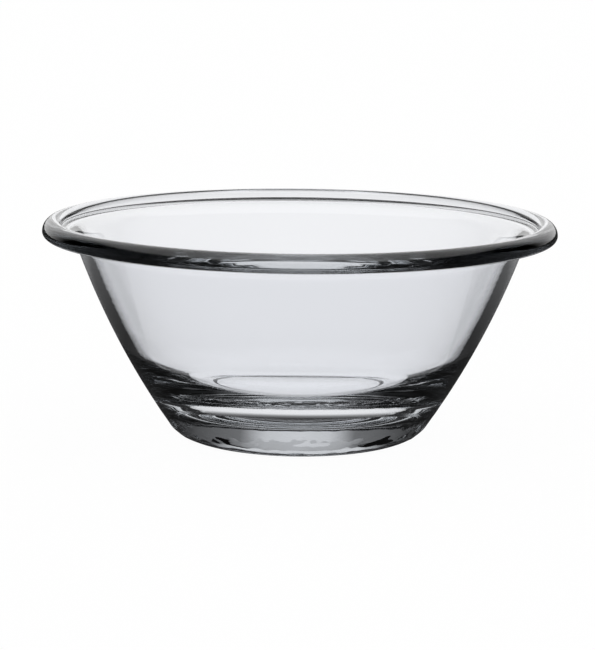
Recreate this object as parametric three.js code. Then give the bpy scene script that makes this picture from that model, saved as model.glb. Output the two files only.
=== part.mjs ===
// A clear pressed-glass salad bowl: one turned section, revolved round the bowl's upright axis.
// Millimetres, +Z up. The origin is the middle of the foot, on the surface the bowl stands on.
import * as THREE from "three";

// Rim: a round bead on the edge of a short flared lip
const RIM_DIAMETER = 230; // over the bead
const HEIGHT = 98.5; // from the table to the top of the bead
const BEAD_DIAMETER = 8.8;
const LIP_THICKNESS = 4.4; // upright thickness of the lip, beside the bead
const LIP_SLOPE = 14; // degrees that the top of the lip falls towards the inside
const BEAD_CREASE_ROUND = 1; // hollow corner between the bead and the top of the lip
const LIP_SHOULDER_ROUND = 9; // turn from the lip down into the bowl
const LIP_UNDER_ROUND = 2; // hollow corner between the lip and the outside of the wall

// Wall: a taper that swells outwards, the same thickness all the way
const WALL_TOP_DIAMETER = 202; // outside, where the wall would meet the underside of the lip
const WALL_THICKNESS = 5;
const WALL_SWEEP_RADIUS = 350; // of the swell, outside

// Base: a thick floor with a wide sweep inside and a rounded heel outside
const HEEL_DIAMETER = 110; // where the wall would meet the table if the heel were sharp
const HEEL_ROUND = 12;
const FLOOR_HEIGHT = 17; // inside floor above the table
const FLOOR_SWEEP_RADIUS = 50; // between the floor and the wall, inside

// Foot: a flat ring round a shallow hollow
const FOOT_RING_WIDTH = 5; // flat that bears on the table
const HOLLOW_DEPTH = 1.6;
const HOLLOW_EDGE_ROUND = 2.4; // at the edge of the ring, and again at the top of the hollow's side

// Facets
const FACETS_AROUND = 72;
const FACET_SAG = 0.08; // most that a facet of the section may cut inside its curve

const GLASS_COLOUR = 0xe6ebee;

// Directions in the section, seen from the middle of an arc
const OUT = 0;
const UP = Math.PI / 2;
const DOWN = -Math.PI / 2;
const point = (radius, height) => new THREE.Vector2(radius, height);
const direction = (from, to) => Math.atan2(to.y - from.y, to.x - from.x);

// The middle of a circle through two points, on the left of the way from the first to the second.
function circleMiddle(from, to, radius) {
  const half = to.clone().sub(from).multiplyScalar(0.5);
  const left = point(-half.y, half.x).normalize();
  const away = Math.sqrt(radius ** 2 - half.lengthSq());
  return from.clone().add(half).addScaledVector(left, away);
}

// The outermost point of a circle on a straight line, which passes a point and rises at a slope.
function outerCrossing(middle, radius, linePoint, slope) {
  const along = point(Math.cos(slope), Math.sin(slope));
  const nearest = middle.clone().sub(linePoint).dot(along);
  const foot = linePoint.clone().addScaledVector(along, nearest);
  const half = Math.sqrt(radius ** 2 - foot.distanceToSquared(middle));
  return foot.addScaledVector(along, half);
}

// The facets of an arc, from one direction to another as seen from its middle.
function arc(middle, radius, from, to) {
  const facetAngle = 2 * Math.acos(1 - FACET_SAG / Math.max(radius, FACET_SAG));
  const facets = Math.max(1, Math.ceil(Math.abs(to - from) / facetAngle));
  return Array.from({ length: facets + 1 }, (_, k) => {
    const angle = from + ((to - from) * k) / facets;
    return point(Math.cos(angle), Math.sin(angle)).multiplyScalar(radius).add(middle);
  });
}

// The half section: from the axis under the base, out over the heel, up the wall, round the bead,
// and down the inside to the axis again. Each arc is tangent to what it joins.
function bowlSection() {
  const lipUnder = HEIGHT - BEAD_DIAMETER;
  const wallTop = point(WALL_TOP_DIAMETER / 2, lipUnder);
  const heelCorner = point(HEEL_DIAMETER / 2, 0);
  const sweep = circleMiddle(heelCorner, wallTop, WALL_SWEEP_RADIUS);
  const insideRadius = WALL_SWEEP_RADIUS - WALL_THICKNESS;

  const heel = outerCrossing(sweep, WALL_SWEEP_RADIUS - HEEL_ROUND, point(0, HEEL_ROUND), 0);
  const underLip = outerCrossing(
    sweep,
    WALL_SWEEP_RADIUS + LIP_UNDER_ROUND,
    point(0, lipUnder - LIP_UNDER_ROUND),
    0,
  );
  const hollowEdge = point(heel.x - FOOT_RING_WIDTH, HOLLOW_EDGE_ROUND);
  const hollowTurn = Math.acos(1 - Math.min(HOLLOW_DEPTH / (2 * HOLLOW_EDGE_ROUND), 1));
  const hollowTop = point(
    hollowEdge.x - 2 * HOLLOW_EDGE_ROUND * Math.sin(hollowTurn),
    HOLLOW_DEPTH - HOLLOW_EDGE_ROUND,
  );

  const beadRadius = BEAD_DIAMETER / 2;
  const bead = point(RIM_DIAMETER / 2 - beadRadius, HEIGHT - beadRadius);
  const slope = THREE.MathUtils.degToRad(LIP_SLOPE);
  const lipTop = point(bead.x - beadRadius, lipUnder + LIP_THICKNESS);
  const lipNormal = point(-Math.sin(slope), Math.cos(slope));
  const aboveLip = (distance) => lipTop.clone().addScaledVector(lipNormal, distance);
  const crease = outerCrossing(
    bead,
    beadRadius + BEAD_CREASE_ROUND,
    aboveLip(BEAD_CREASE_ROUND),
    slope + Math.PI, // the lip runs inwards from the bead
  );
  const shoulder = outerCrossing(
    sweep,
    insideRadius + LIP_SHOULDER_ROUND,
    aboveLip(-LIP_SHOULDER_ROUND),
    slope,
  );
  const floor = outerCrossing(
    sweep,
    insideRadius - FLOOR_SWEEP_RADIUS,
    point(0, FLOOR_HEIGHT + FLOOR_SWEEP_RADIUS),
    0,
  );

  const wallFoot = direction(sweep, heel);
  const beadEnd = THREE.MathUtils.euclideanModulo(direction(bead, crease), 2 * Math.PI);
  return [
    point(0, HOLLOW_DEPTH),
    ...arc(hollowTop, HOLLOW_EDGE_ROUND, UP, UP - hollowTurn),
    ...arc(hollowEdge, HOLLOW_EDGE_ROUND, DOWN - hollowTurn, DOWN),
    ...arc(heel, HEEL_ROUND, DOWN, wallFoot),
    ...arc(sweep, WALL_SWEEP_RADIUS, wallFoot, direction(sweep, underLip)),
    ...arc(underLip, LIP_UNDER_ROUND, direction(sweep, underLip) + Math.PI, UP),
    ...arc(bead, beadRadius, DOWN, OUT),
    ...arc(bead, beadRadius, OUT, UP),
    ...arc(bead, beadRadius, UP, beadEnd),
    ...arc(crease, BEAD_CREASE_ROUND, beadEnd - Math.PI, DOWN + slope),
    ...arc(shoulder, LIP_SHOULDER_ROUND, UP + slope, direction(sweep, shoulder) + Math.PI),
    ...arc(sweep, insideRadius, direction(sweep, shoulder), direction(sweep, floor)),
    ...arc(floor, FLOOR_SWEEP_RADIUS, direction(sweep, floor), DOWN),
    point(0, FLOOR_HEIGHT),
  ];
}

// Two arcs that join end in the same point, which is kept once.
function withoutRepeats(outline) {
  return outline.filter((here, i) => i === 0 || here.distanceTo(outline[i - 1]) > FACET_SAG / 10);
}

function glassBowl() {
  const turned = new THREE.LatheGeometry(withoutRepeats(bowlSection()), FACETS_AROUND);
  turned.rotateX(Math.PI / 2); // the lathe turns round Y
  const glass = new THREE.MeshStandardMaterial({ color: GLASS_COLOUR, roughness: 0.02, metalness: 0 });
  const bowl = new THREE.Mesh(turned, glass);
  bowl.name = "glass_bowl";
  return bowl;
}

const saladBowl = new THREE.Group();
saladBowl.add(glassBowl());

export default saladBowl;
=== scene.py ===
# %% [markdown]
# # A clear glass salad bowl
#
# A bowl like this is one pressing. A gob of hot glass drops into a mould, and a plunger drives it up the
# sides until it fills the rim. Nothing is joined on afterwards, so the whole bowl is one turned shape.
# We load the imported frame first. It holds the bowl's solid at its real size, in metres, and the fine glass
# that we make here takes its place in the same spot.

# %% Load the frame
import math

import bmesh
import bpy
from mathutils import Matrix, Vector, noise


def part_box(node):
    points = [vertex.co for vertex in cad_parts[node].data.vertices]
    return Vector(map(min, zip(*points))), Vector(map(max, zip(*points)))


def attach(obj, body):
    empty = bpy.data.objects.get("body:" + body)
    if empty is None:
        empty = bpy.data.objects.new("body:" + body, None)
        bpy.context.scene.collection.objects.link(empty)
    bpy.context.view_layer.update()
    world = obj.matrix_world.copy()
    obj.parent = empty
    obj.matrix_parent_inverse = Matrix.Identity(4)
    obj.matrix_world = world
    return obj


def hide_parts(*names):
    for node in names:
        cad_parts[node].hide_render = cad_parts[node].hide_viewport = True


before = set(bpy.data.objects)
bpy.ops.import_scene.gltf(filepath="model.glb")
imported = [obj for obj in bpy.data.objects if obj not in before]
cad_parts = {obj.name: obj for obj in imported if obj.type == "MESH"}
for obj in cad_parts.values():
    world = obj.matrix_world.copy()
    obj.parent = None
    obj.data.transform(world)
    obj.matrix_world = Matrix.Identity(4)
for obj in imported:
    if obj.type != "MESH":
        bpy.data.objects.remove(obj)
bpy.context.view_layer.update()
_, glass_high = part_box("glass_bowl")
rim_radius = glass_high.x
height = glass_high.z
print(f"bowl: {2000 * rim_radius:.1f} mm over the rim, {1000 * height:.1f} mm high")

# %% [markdown]
# ## Drawing a section with arcs
#
# Glass flows, so a pressed section has no sharp corner anywhere: it is a chain of arcs, each tangent to the
# next. We could model the bowl with a few loops and a subdivision surface, but glass shows every bump in its
# curvature as a bent reflection. Arcs worked out by formula are exactly round. A point of the section is a
# 2-D vector: how far from the bowl's axis, and how high above the table.

# %% Arcs of the section
MM = 0.001
SECTION_SAG = 0.004 * MM  # most that a step may cut inside its arc
LEAST_STEPS = 12
OUT, UP, DOWN = 0.0, math.pi / 2, -math.pi / 2  # directions, as angles
HALF_TURN = math.pi


def arc(middle, radius, start, end):
    """Points of an arc, from one direction to another as seen from its middle."""
    finest = 2 * math.acos(1 - SECTION_SAG / radius)
    steps = max(LEAST_STEPS, math.ceil(abs(end - start) / finest))
    angles = [start + (end - start) * k / steps for k in range(steps + 1)]
    return [middle + radius * Vector((math.cos(a), math.sin(a))) for a in angles]


def line(start, end, longest):
    """Points of a straight stretch, no further apart than the longest step."""
    steps = max(1, math.ceil((end - start).length / longest))
    return [start.lerp(end, k / steps) for k in range(steps + 1)]


def direction(start, end):
    """The angle of the way from one point to another."""
    return math.atan2(end.y - start.y, end.x - start.x)


def circle_middle(start, end, radius):
    """The middle of a circle through two points, on the left of the way from one to the other."""
    half = (end - start) / 2
    left = Vector((-half.y, half.x)).normalized()
    return start + half + left * math.sqrt(radius**2 - half.length_squared)


def outer_crossing(middle, radius, through, slope):
    """The outermost point of a circle on a line, which passes a point and rises at a slope."""
    along = Vector((math.cos(slope), math.sin(slope)))
    foot = through + along * (middle - through).dot(along)
    return foot + along * math.sqrt(radius**2 - (foot - middle).length_squared)


# %% [markdown]
# ## The wall
#
# The wall is a taper that swells outwards a little, which is easy to miss until you lay a ruler along it.
# Outside and inside are two arcs round the same middle, so the glass is equally thick all the way up.

# %% Wall
lip_depth = 8.8 * MM  # from the top of the solid down to the underside of the lip
lip_under = height - lip_depth
wall_top_radius = 101 * MM  # outside, where the wall would meet the underside of the lip
wall_thickness = 5 * MM
wall_sweep = 350 * MM  # radius of the swell, outside
heel_corner = Vector((55 * MM, 0))  # where the wall would meet the table if the heel were sharp

wall_top = Vector((wall_top_radius, lip_under))
wall_middle = circle_middle(heel_corner, wall_top, wall_sweep)
inside_sweep = wall_sweep - wall_thickness
print(f"wall: {1000 * wall_thickness:.1f} mm thick, swelling on a radius of {1000 * wall_sweep:.0f} mm")

# %% [markdown]
# ## The foot
#
# Below the wall the glass turns in over a rounded heel and stands on a narrow flat ring. The middle of the
# underside is raised, so that the bowl doesn't rock. Two small arcs that mirror each other lead from the
# ring up to that hollow.

# %% Foot, heel and hollow
heel_round = 12 * MM
ring_width = 5 * MM
hollow_depth = 1.6 * MM
hollow_round = 2.4 * MM
FOOT_STEP = 0.8 * MM  # longest step along the underside

heel = outer_crossing(wall_middle, wall_sweep - heel_round, Vector((0, heel_round)), 0)
wall_foot = direction(wall_middle, heel)
ring_inside = Vector((heel.x - ring_width, hollow_round))
hollow_turn = math.acos(1 - hollow_depth / (2 * hollow_round))
hollow_top = Vector((ring_inside.x - 2 * hollow_round * math.sin(hollow_turn), hollow_depth - hollow_round))
foot_points = (
    line(Vector((0, hollow_depth)), Vector((hollow_top.x, hollow_depth)), FOOT_STEP)
    + arc(hollow_top, hollow_round, UP, UP - hollow_turn)
    + arc(ring_inside, hollow_round, DOWN - hollow_turn, DOWN)
    + line(Vector((ring_inside.x, 0)), Vector((heel.x, 0)), FOOT_STEP)
    + arc(heel, heel_round, DOWN, wall_foot)
)
print(f"foot: ring {2000 * ring_inside.x:.0f} to {2000 * heel.x:.0f} mm across, {len(foot_points)} points")

# %% [markdown]
# ## The rim
#
# The edge is a fat bead on a short lip. The bead does two jobs: it stiffens the edge, and it gives the
# fingers something to hold. Optically it is a lens rolled into a ring, and it is why the sides of the near
# edge look black in a pale room. The plunger's ring flattens it a little on top, so it is an oval of three
# arcs, somewhat slimmer than the round bead of the solid. A crease parts the bead from the lip inside, a
# wide shoulder turns the lip down into the bowl, and a wide round under the lip lets the light out again.

# %% Rim
crest_drop = 0.7 * MM  # how much lower than the solid's bead
base_rise = 0.3 * MM  # how much higher than the solid's bead
bead_width = 8.4 * MM
bead_crest = height - crest_drop
bead_base = lip_under + base_rise
bead_top_round = 5.3 * MM  # outside, above the widest line
bead_low_round = bead_crest - bead_base - bead_top_round
bead_inner_round = 2.8 * MM
lip_drop = 3.8 * MM  # from the top of the bead to the lip
lip_slope = math.radians(14)
crease_round = 1 * MM
shoulder_round = 9 * MM
under_round = 7 * MM

bead_low = Vector((rim_radius - bead_low_round, bead_base + bead_low_round))
bead_top = Vector((rim_radius - bead_top_round, bead_crest - bead_top_round))
bead_inner = Vector((rim_radius - bead_width + bead_inner_round, bead_crest - bead_inner_round))
lip_start = Vector((rim_radius - bead_width, bead_crest - lip_drop))
lip_normal = Vector((-math.sin(lip_slope), math.cos(lip_slope)))
crease = outer_crossing(
    bead_inner, bead_inner_round + crease_round, lip_start + crease_round * lip_normal, lip_slope + HALF_TURN
)
bead_end = direction(bead_inner, crease) % math.tau
shoulder = outer_crossing(
    wall_middle, inside_sweep + shoulder_round, lip_start - shoulder_round * lip_normal, lip_slope
)
under = outer_crossing(wall_middle, wall_sweep + under_round, Vector((0, bead_base - under_round)), 0)
rim_points = (
    arc(under, under_round, direction(wall_middle, under) + HALF_TURN, UP)
    + arc(bead_low, bead_low_round, DOWN, OUT)
    + arc(bead_top, bead_top_round, OUT, UP)
    + arc(bead_inner, bead_inner_round, UP, bead_end)
    + arc(crease, crease_round, bead_end - HALF_TURN, DOWN + lip_slope)
    + arc(shoulder, shoulder_round, UP + lip_slope, direction(wall_middle, shoulder) + HALF_TURN)
)
print(f"rim: bead {1000 * (bead_crest - bead_base):.1f} mm thick, {len(rim_points)} points")

# %% [markdown]
# ## The inside, and the whole section
#
# Inside, the wall runs down into a wide sweep and a flat floor. The floor is thick: a heavy base is what
# makes a pressed bowl stand well, and the light and dark shapes low down in the glass are the surroundings,
# bent and mirrored in that base. Then every stretch is put in order, from the middle of the underside round
# the rim to the middle of the floor.

# %% Inside
floor_height = 17 * MM
floor_sweep = 50 * MM
WALL_STEP = 1.1 * MM  # longest step along the rest

floor = outer_crossing(
    wall_middle, inside_sweep - floor_sweep, Vector((0, floor_height + floor_sweep)), 0
)
wall_outside = arc(wall_middle, wall_sweep, wall_foot, direction(wall_middle, under))
wall_inside = arc(wall_middle, inside_sweep, direction(wall_middle, shoulder), direction(wall_middle, floor))
floor_points = arc(floor, floor_sweep, direction(wall_middle, floor), DOWN) + line(
    Vector((floor.x, floor_height)), Vector((0, floor_height)), WALL_STEP
)
print(f"inside: flat floor {2000 * floor.x:.0f} mm across, {1000 * floor_height:.0f} mm up")

# %% Every stretch in order
SAME_POINT = SECTION_SAG / 10


def finely(points, longest):
    """The same points with more between them, where they are far apart."""
    fine = points[:1]
    for end in points[1:]:
        fine += line(fine[-1], end, longest)[1:]
    return fine


def without_repeats(points):
    """Arcs that join end in the same point, which is kept once."""
    kept = points[:1]
    for point in points[1:]:
        if (point - kept[-1]).length > SAME_POINT:
            kept.append(point)
    return kept


section = without_repeats(foot_points + wall_outside + rim_points + wall_inside + floor_points)
section = finely(section, WALL_STEP)
print(f"section: {len(section)} points")

# %% [markdown]
# ## Marks of the press
#
# Real pressed glass is never quite true. The plunger chills the skin, and the glass shrinks in faint waves
# that run round the wall, less than a hundredth of a millimetre deep. On the side of the heel where the gob
# first touched the cool mould, the skin wrinkles by a tenth or two. Light bends at every slope, so these
# marks are what tells glass from plastic. We move the points of the mesh by smooth noise, so that they are
# real shape and not only shading. The rim and the floor stay true, and so does the ring that the bowl stands
# on.

# %% Waves and wrinkles
WAVE_DEPTH = 0.008 * MM
WAVE_LENGTH = 35 * MM  # round the wall
WAVE_HEIGHT = 7 * MM  # up the wall
WAVE_START = 2 * MM  # from the floor or the lip to the first wave
WAVE_FADE = 12 * MM  # from the floor or the lip to waves of full depth
WRINKLE_DEPTH = 0.16 * MM
WRINKLE_LENGTH = 6 * MM
WRINKLE_SIDE = -20 * MM  # this far in front of the axis the wrinkles have their full depth
FINE_SCALE = 2.1  # the finer wrinkles are this much shorter
FINE_SHARE = 0.5  # and this deep beside the others
HEEL_LOW = 0.5 * MM  # the wrinkles start here
HEEL_FULL = 2 * MM  # and have their full depth here
HEEL_TOP = 15 * MM  # and end here
HEEL_FADE = 4 * MM


def ramp(value, start, end):
    """0 before the start, 1 after the end, and even between them."""
    return min(1.0, max(0.0, (value - start) / (end - start)))


def wave(place, along):
    """How far a point of the wall stands out, at a length along the section."""
    spot = Vector((place.x / WAVE_LENGTH, place.y / WAVE_LENGTH, along / WAVE_HEIGHT))
    above_floor = ramp(place.z, floor_height + WAVE_START, floor_height + WAVE_FADE)
    below_lip = ramp(place.z, lip_under - WAVE_START, lip_under - WAVE_FADE)
    return WAVE_DEPTH * noise.noise(spot) * above_floor * below_lip


def wrinkle(place, radius):
    """How far a point of the heel stands out. The flat ring and its hollow stay true."""
    if radius < ring_inside.x:
        return 0.0
    spot = place / WRINKLE_LENGTH
    rough = noise.noise(spot) + FINE_SHARE * noise.noise(FINE_SCALE * spot)
    on_heel = ramp(place.z, HEEL_LOW, HEEL_FULL) * ramp(place.z, HEEL_TOP, HEEL_TOP - HEEL_FADE)
    return -rough * WRINKLE_DEPTH * on_heel * ramp(place.y, 0, WRINKLE_SIDE)


# %% [markdown]
# ## Turning the section
#
# Blender's Screw modifier would turn the section too. We make the rings ourselves, because each point is
# moved along the glass's own normal by the press marks as it is made. Both ends of the section lie on the
# axis, and there the ring shrinks to one point, so the mesh closes without a hole.

# %% Turn the section into glass
AROUND = 320


def pressed_point(point, normal, along, angle):
    """A point of the glass at an angle round the axis, moved by the press marks."""
    round_axis = Vector((math.cos(angle), math.sin(angle), 0))
    place = point.x * round_axis + Vector((0, 0, point.y))
    lift = wrinkle(place, point.x) if point.y < HEEL_TOP else wave(place, along)
    return place + lift * (normal.x * round_axis + Vector((0, 0, normal.y)))


def turn(points):
    """The corners and faces of a closed turned mesh."""
    corners, faces, rings = [], [], []
    along = 0.0
    for i, point in enumerate(points):
        before, after = points[max(i - 1, 0)], points[min(i + 1, len(points) - 1)]
        run = (after - before).normalized()
        normal = Vector((run.y, -run.x))
        along += (point - before).length
        count = AROUND if point.x > SECTION_SAG else 1
        rings.append([len(corners) + k for k in range(count)])
        corners += [pressed_point(point, normal, along, math.tau * k / AROUND) for k in range(count)]
    for low, high in zip(rings, rings[1:]):
        # A ring of one point stands for a whole circle, so its faces are triangles.
        for k in range(AROUND):
            side = (k + 1) % AROUND
            four = [low[k % len(low)], low[side % len(low)], high[side % len(high)], high[k % len(high)]]
            faces.append(list(dict.fromkeys(four)))
    return corners, faces


glass_mesh = bpy.data.meshes.new("glass_bowl_fine")
corners, faces = turn(section)
glass_mesh.from_pydata(corners, [], faces)
glass_mesh.shade_smooth()
glass = bpy.data.objects.new("pressed_glass_bowl", glass_mesh)
bpy.context.collection.objects.link(glass)
print(f"glass: {len(section)} rings of up to {AROUND} points, {len(faces)} faces")

# %% Measure the glass
GLASS_DENSITY = 2500  # kilograms in a cubic metre

measured = bmesh.new()
measured.from_mesh(glass_mesh)
open_edges = [edge for edge in measured.edges if not edge.is_manifold]
weight = measured.calc_volume(signed=True) * GLASS_DENSITY
measured.free()
print(f"glass: {len(open_edges)} open edges, {weight:.2f} kg")

# %% [markdown]
# ## Clear glass
#
# Clear glass has almost no colour on its surface. Its colour is inside: light loses a little, and a little
# more red than blue, for every centimetre it travels. So the surface is a Principled BSDF with full
# transmission, and the tint is a Volume Absorption in the material's Volume. A thin wall then looks clear,
# and the thick base grey, as on the real bowl, with no painted shade. The skin has only a faint blue of its
# own, which cools the thin wall a little.

# %% Glass material
GLASS_IOR = 1.52
ABSORPTION_PER_METRE = (3.4, 3.2, 3.0)  # red, green and blue
ABSORPTION_DENSITY = 20.0  # the node takes its losses as one density and a colour
SKIN_TINT = (0.967, 0.976, 1.0)

clear_glass = bpy.data.materials.new("clear_pressed_glass")
clear_glass.use_nodes = True
tree = clear_glass.node_tree
skin = tree.nodes["Principled BSDF"]
skin.inputs["IOR"].default_value = GLASS_IOR
skin.inputs["Transmission Weight"].default_value = 1.0
skin.inputs["Base Color"].default_value = (*SKIN_TINT, 1)
skin.inputs["Roughness"].default_value = 0.0
tint = tree.nodes.new("ShaderNodeVolumeAbsorption")
tint.inputs["Density"].default_value = ABSORPTION_DENSITY
tint.inputs["Color"].default_value = (*[1 - loss / ABSORPTION_DENSITY for loss in ABSORPTION_PER_METRE], 1)
tree.links.new(tint.outputs["Volume"], tree.nodes["Material Output"].inputs["Volume"])
glass_mesh.materials.append(clear_glass)
print(f"material: {clear_glass.name}, index {GLASS_IOR}, losses per metre {ABSORPTION_PER_METRE}")

# %% Put the glass in the frame
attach(glass, "root")
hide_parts("glass_bowl")
print(f"{glass.name} stands for glass_bowl and rides on root")

# %% [markdown]
# ## A studio for glass
#
# Glass has no look of its own: it shows the room. Photographers light it with a pale ground behind it, so
# that the walls are clear, and with dark cards and a soft box, which draw its edges. In the render we can
# hand each of these to the rays that need it. A Light Path node counts how often a ray was mirrored and how
# often it was bent. A ray that was only bent looks through the glass and sees the pale ground. One that was
# only mirrored sees dark cards, a pale wall at the back and a white sheet overhead. One that was bent and
# mirrored sees a narrow soft box behind the bowl, below a dark ceiling. Rays that light the floor see an
# even white room.

# %% Small helpers for nodes


def maths(tree, operation, first, second=0.0):
    """A Math node. Each input is a number or another node's output."""
    node = tree.nodes.new("ShaderNodeMath")
    node.operation = operation
    for socket, value in zip(node.inputs, (first, second)):
        if isinstance(value, (int, float)):
            socket.default_value = value
        else:
            tree.links.new(value, socket)
    return node.outputs["Value"]


def ramp_of(tree, value, stops):
    """A Color Ramp over a value, from stops of place and grey."""
    node = tree.nodes.new("ShaderNodeValToRGB")
    tree.links.new(value, node.inputs["Fac"])
    elements = node.color_ramp.elements
    elements.remove(elements[1])
    for i, (place, grey) in enumerate(stops):
        element = elements[0] if i == 0 else elements.new(place)
        element.position = place
        element.color = (grey, grey, grey, 1)
    return node.outputs["Color"]


def mix(tree, factor, first, second, blend="MIX"):
    """A Mix node for colours. Each colour is a grey number or another node's output."""
    node = tree.nodes.new("ShaderNodeMix")
    node.data_type = "RGBA"
    node.blend_type = blend
    colour_sockets = [socket for socket in node.inputs if socket.type == "RGBA"]
    for socket, value in zip([node.inputs["Factor"], *colour_sockets], (factor, first, second)):
        if not isinstance(value, (int, float)):
            tree.links.new(value, socket)
        elif socket.type == "RGBA":
            socket.default_value = (value, value, value, 1)
        else:
            socket.default_value = value
    return next(socket for socket in node.outputs if socket.type == "RGBA")


def level_distance(tree, vector):
    """How far a point is from the upright axis, and its three coordinates."""
    parts = tree.nodes.new("ShaderNodeSeparateXYZ")
    tree.links.new(vector, parts.inputs["Vector"])
    x, y, z = parts.outputs
    squares = maths(tree, "ADD", maths(tree, "MULTIPLY", x, x), maths(tree, "MULTIPLY", y, y))
    return maths(tree, "SQRT", squares), x, y, z


# %% The three kinds of ray
NONE_YET = 0.5  # a count below this is none


def kinds_of_ray(tree):
    """Masks for rays that were only mirrored, only bent, or both, on their way from the camera."""
    path = tree.nodes.new("ShaderNodeLightPath")
    in_sight = maths(tree, "LESS_THAN", path.outputs["Diffuse Depth"], NONE_YET)
    mirrored = maths(tree, "MULTIPLY", in_sight, maths(tree, "MINIMUM", path.outputs["Glossy Depth"], 1.0))
    bent = maths(tree, "MULTIPLY", in_sight, maths(tree, "MINIMUM", path.outputs["Transmission Depth"], 1.0))
    both = maths(tree, "MULTIPLY", mirrored, bent)
    only_mirrored = maths(tree, "SUBTRACT", mirrored, both)
    only_bent = maths(tree, "SUBTRACT", bent, both)
    return only_mirrored, only_bent, both, path.outputs["Is Camera Ray"]


# %% [markdown]
# ## Painted shade for rays mirrored many times
#
# In the heavy base and in the bead a ray can be mirrored many times before it leaves. On the real bowl the
# corners of the base look black, but a ray here would fill them with fine grey lines. So we paint shade into
# them: a colour fades as a ray is mirrored more often, but not near the middle of the room, which keeps the
# middle of the rim light. How fast it fades was chosen.

# %% Fading
MIRROR_SCALE = 0.1  # brings a count into the reach of a ramp
# Painted shade: the colour a ray sees darkens after it was mirrored many times.
MIRROR_SHADE_STOPS = [(0.25, 1.0), (0.45, 0.12)]  # over how often a ray was mirrored, times the scale


def painted_mirror_shade(tree, colour, sideways, middle):
    """Painted shade: a colour that fades for rays mirrored many times, but not near the middle, by its
    ramp's stops.
    """
    path = tree.nodes.new("ShaderNodeLightPath")
    times = maths(tree, "MULTIPLY", path.outputs["Glossy Depth"], MIRROR_SCALE)
    fade = mix(tree, ramp_of(tree, sideways, middle), ramp_of(tree, times, MIRROR_SHADE_STOPS), 1.0)
    return mix(tree, 1.0, colour, fade, "MULTIPLY")


# %% [markdown]
# ## The room
#
# The room isn't built of meshes. It is a world whose colour depends on the direction: how far it points
# sideways, how far it points up, and whether it points to the back or to the front. Each card, box and
# ceiling is made of ramps over these, from stops of place and grey, so it has soft edges like a real soft
# box.

# %% Directions in the room
room = bpy.data.worlds.new("studio")
bpy.context.scene.world = room
room.use_nodes = True
room.cycles.sampling_method = "NONE"  # each ray has to reach the room by itself, and so has its counts
tree = room.node_tree
way = tree.nodes.new("ShaderNodeTexCoord").outputs["Generated"]
level, x, y, up = level_distance(tree, way)
half_way = maths(tree, "DIVIDE", y, maths(tree, "MULTIPLY", level, 2.0))
front = maths(tree, "SUBTRACT", 0.5, half_way)  # 0 at the back of the room, 1 at the front
sideways = maths(tree, "ABSOLUTE", x)
only_mirrored, only_bent, both, _ = kinds_of_ray(tree)
print("room: directions and kinds of ray in", len(tree.nodes), "nodes")

# %% Seen through the glass, and mirrored outside it
SOFT_BOX = [(0.0, 1.0), (0.22, 0.9), (0.5, 0.02)]  # over sideways
PALE_GROUND = [(0.1, 1.0), (0.18, 0.0)]  # over up
OVERHEAD = [(0.6, 0.0), (0.72, 1.0)]  # over up
FAR_BACK = [(0.05, 1.0), (0.2, 0.0)]  # over front
BOX_IN_VIEW = 0.8
BOX_MIRRORED = 0.1
CARD_MIRRORED = 0.03

box = ramp_of(tree, sideways, SOFT_BOX)
ground = ramp_of(tree, up, PALE_GROUND)
overhead = ramp_of(tree, up, OVERHEAD)
seen_through = mix(tree, ground, mix(tree, 1.0, box, BOX_IN_VIEW, "MULTIPLY"), 1.0)
seen_mirrored = mix(tree, ground, mix(tree, 1.0, box, BOX_MIRRORED, "MULTIPLY"), CARD_MIRRORED)
seen_mirrored = mix(tree, overhead, seen_mirrored, 1.0)
seen_mirrored = mix(tree, ramp_of(tree, front, FAR_BACK), seen_mirrored, 1.0)
print("room: pale ground, soft box, cards and back wall in", len(tree.nodes), "nodes")

# %% Turned inside the glass
SOFT_BOX_TURNED = [(0.0, 1.0), (0.15, 0.9), (0.28, 0.25), (0.6, 0.13), (0.75, 0.02)]  # over sideways
BEHIND = [(0.3, 1.0), (0.5, 0.02)]  # over front
BELOW_CEILING = [(0.58, 1.0), (0.68, 0.03)]  # over up
LOW_BAND = [(0.3, 1.0), (0.5, 0.02)]  # over sideways
MIDDLE_OF_ROOM = [(0.2, 1.0), (0.45, 0.0)]  # over sideways

narrow_box = ramp_of(tree, sideways, SOFT_BOX_TURNED)
behind_box = mix(tree, 1.0, narrow_box, ramp_of(tree, front, BEHIND), "MULTIPLY")
behind_box = mix(tree, 1.0, behind_box, ramp_of(tree, up, BELOW_CEILING), "MULTIPLY")
seen_turned = mix(tree, ground, behind_box, ramp_of(tree, sideways, LOW_BAND))
colour = mix(tree, only_bent, 1.0, seen_through)
colour = mix(tree, only_mirrored, colour, seen_mirrored)
# Painted shade: rays mirrored many times see the room fade.
colour = mix(tree, both, colour, painted_mirror_shade(tree, seen_turned, sideways, MIDDLE_OF_ROOM))
tree.links.new(colour, tree.nodes["Background"].inputs["Color"])
print("room:", len(tree.nodes), "nodes in all")

# %% [markdown]
# ## The floor
#
# The floor is a pale sheet that runs out of sight. Most of its white is its own, seen by the camera and
# through the glass, and the rest comes from the room, so that the bowl still leaves a soft shadow where it
# stands. Seen through the glass it carries a faint painted shadow, in a wide ring round the bowl. A ray that
# was only mirrored sees it dark. One that was also bent sees the bowl's shadow painted on it, dark under the
# foot and in a wide ring behind the bowl, and sees it half as bright beyond a narrow ring in front: these
# draw the stripe and the corners of the base.

# %% Floor sheet
FLOOR_HALF = 30.0  # metres from the middle to each side
FLOOR_GAP = 0.2 * MM  # keeps the sheet clear of the foot

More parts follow.
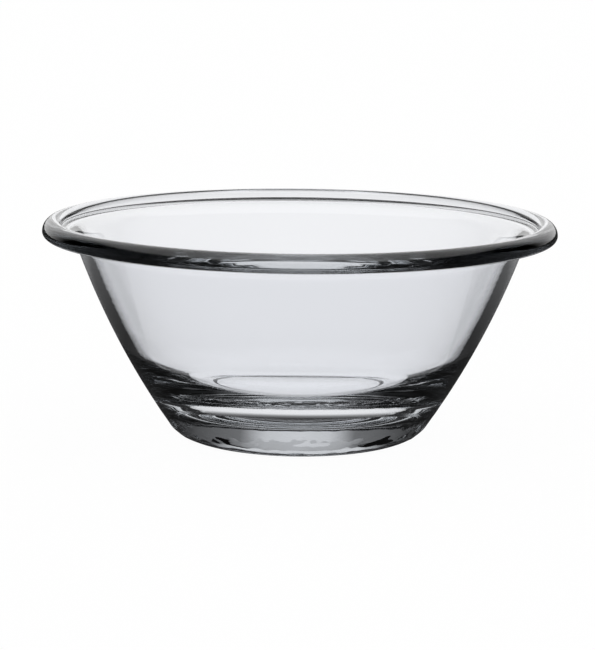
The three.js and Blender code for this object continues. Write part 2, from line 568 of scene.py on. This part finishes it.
sheet_corners = [(-FLOOR_HALF, -FLOOR_HALF), (FLOOR_HALF, -FLOOR_HALF), (FLOOR_HALF, FLOOR_HALF)]
sheet_corners.append((-FLOOR_HALF, FLOOR_HALF))
sheet = bpy.data.meshes.new("floor")
sheet.from_pydata([(x, y, -FLOOR_GAP) for x, y in sheet_corners], [], [(0, 1, 2, 3)])
floor_sheet = bpy.data.objects.new("floor", sheet)
bpy.context.collection.objects.link(floor_sheet)
print(f"floor: {2 * FLOOR_HALF:.0f} m wide")

# %% Floor as the rays see it
FLOOR_COLOUR = 0.92
FLOOR_MIRRORED = 0.03
# A faint painted shadow: through the glass the floor is a little darker from 0.13 to 0.4 m from the axis.
SEEN_THROUGH = [(0.1, 1.0), (0.13, 0.94), (0.4, 0.94), (0.55, 1.0)]  # over metres from the axis
# Painted shadow of the bowl, as rays that were bent and mirrored see the floor: dark under the foot, and
# behind the bowl in a wide ring from 0.058 m out.
SHADOW_UNDER_FOOT = [(0.0425, 0.04), (0.0445, 1.0)]  # over metres from the axis, as the next two
SHADOW_BEHIND_BOWL = SHADOW_UNDER_FOOT + [(0.055, 1.0), (0.058, 0.05), (0.15, 0.03), (0.2, 0.06)]
SHADOW_BEHIND_BOWL += [(0.3, 0.14), (0.4, 0.45), (0.6, 0.9)]
# In front: the painted shadow under the foot, and the floor half as bright beyond 0.09 m.
BEFORE_BOWL = SHADOW_UNDER_FOOT + [(0.07, 1.0), (0.09, 0.5)]
MIDDLE_OF_FLOOR = [(0.02, 1.0), (0.06, 0.0)]  # over metres to the side of the axis

pale = bpy.data.materials.new("pale_floor")
pale.use_nodes = True
tree = pale.node_tree
matt = tree.nodes["Principled BSDF"]
matt.inputs["Base Color"].default_value = (FLOOR_COLOUR, FLOOR_COLOUR, FLOOR_COLOUR, 1)
matt.inputs["Roughness"].default_value = 1.0
matt.inputs["Specular IOR Level"].default_value = 0.0
only_mirrored, only_bent, both, seen = kinds_of_ray(tree)
glow = tree.nodes.new("ShaderNodeEmission")
from_axis, x, y, _ = level_distance(tree, tree.nodes.new("ShaderNodeTexCoord").outputs["Object"])
in_front = maths(tree, "LESS_THAN", y, 0.0)
# The painted shadow of the bowl on the floor, behind it and in front.
painted_shadow = mix(tree, in_front, ramp_of(tree, from_axis, SHADOW_BEHIND_BOWL), ramp_of(tree, from_axis, BEFORE_BOWL))
glow_colour = mix(tree, only_bent, 1.0, ramp_of(tree, from_axis, SEEN_THROUGH))
glow_colour = mix(tree, only_mirrored, glow_colour, FLOOR_MIRRORED)
# Painted shade too: the floor fades for rays mirrored many times.
seen_turned = painted_mirror_shade(tree, painted_shadow, maths(tree, "ABSOLUTE", x), MIDDLE_OF_FLOOR)
glow_colour = mix(tree, both, glow_colour, seen_turned)
tree.links.new(glow_colour, glow.inputs["Color"])
print("floor: cards and pale ground in", len(tree.nodes), "nodes")

# %% How much of the floor's white is its own
FLOOR_GLOW = 0.96

share = maths(tree, "MULTIPLY", maths(tree, "MAXIMUM", seen, only_bent), FLOOR_GLOW)
share = maths(tree, "MAXIMUM", share, maths(tree, "MAXIMUM", only_mirrored, both))
together = tree.nodes.new("ShaderNodeMixShader")
tree.links.new(share, together.inputs["Fac"])
tree.links.new(matt.outputs["BSDF"], together.inputs[1])
tree.links.new(glow.outputs["Emission"], together.inputs[2])
tree.links.new(together.outputs["Shader"], tree.nodes["Material Output"].inputs["Surface"])
sheet.materials.append(pale)
print(f"floor: {100 * FLOOR_GLOW:.0f}% of its white is its own, {len(tree.nodes)} nodes in all")

# %% [markdown]
# ## The camera
#
# The camera stands where the photographer stood: nine rim radii away, a little above the rim, with the
# picture turned by half a degree. The middle of the rim isn't in the middle of the picture, so the camera
# points a little beside it. That keeps the lens free of shift.

# %% Camera
PICTURE_WIDTH, PICTURE_HEIGHT = 595, 650
RIM_PIXEL = Vector((300.1, 216.3))  # where the middle of the rim lies in the picture
RIM_RADIUS_PIXELS = 256.39  # half of the rim's width there
RADII_AWAY = 9.0
LOOK_DOWN = math.radians(7.55)
ROLL = math.radians(0.60)
SENSOR_WIDTH = 36  # millimetres

lens_pixels = RIM_RADIUS_PIXELS * RADII_AWAY
camera = bpy.data.objects.new("camera", bpy.data.cameras.new("camera"))
bpy.context.collection.objects.link(camera)
bpy.context.scene.camera = camera
camera.data.sensor_width = SENSOR_WIDTH
camera.data.lens = SENSOR_WIDTH * lens_pixels / PICTURE_HEIGHT
back = Vector((0, -math.cos(LOOK_DOWN), math.sin(LOOK_DOWN)))
camera.location = Vector((0, 0, height)) + back * RADII_AWAY * rim_radius
pan = math.atan((PICTURE_WIDTH / 2 - RIM_PIXEL.x) / lens_pixels)
tilt = math.atan((PICTURE_HEIGHT / 2 - RIM_PIXEL.y) / lens_pixels)
towards_rim = (-back).to_track_quat("-Z", "Y").to_matrix()
turned = towards_rim @ Matrix.Rotation(ROLL, 3, "Z") @ Matrix.Rotation(-tilt, 3, "X")
camera.rotation_euler = (turned @ Matrix.Rotation(-pan, 3, "Y")).to_euler()
print(f"camera: lens {camera.data.lens:.1f} mm, {camera.location.length:.2f} m away")

# %% [markdown]
# ## How far a ray may go
#
# A ray in glass is bent on the way in and out of each wall, and inside the bead it is mirrored again and
# again. Blender stops following it after a set count, and then it is black. The counts here are high enough
# for the walls and the base to be clear.

# %% Bounces and colours
scene = bpy.context.scene
scene.cycles.max_bounces = 48
scene.cycles.glossy_bounces = 28
scene.cycles.transmission_bounces = 16
scene.view_settings.view_transform = "Standard"
print(f"a ray may turn {scene.cycles.max_bounces} times")
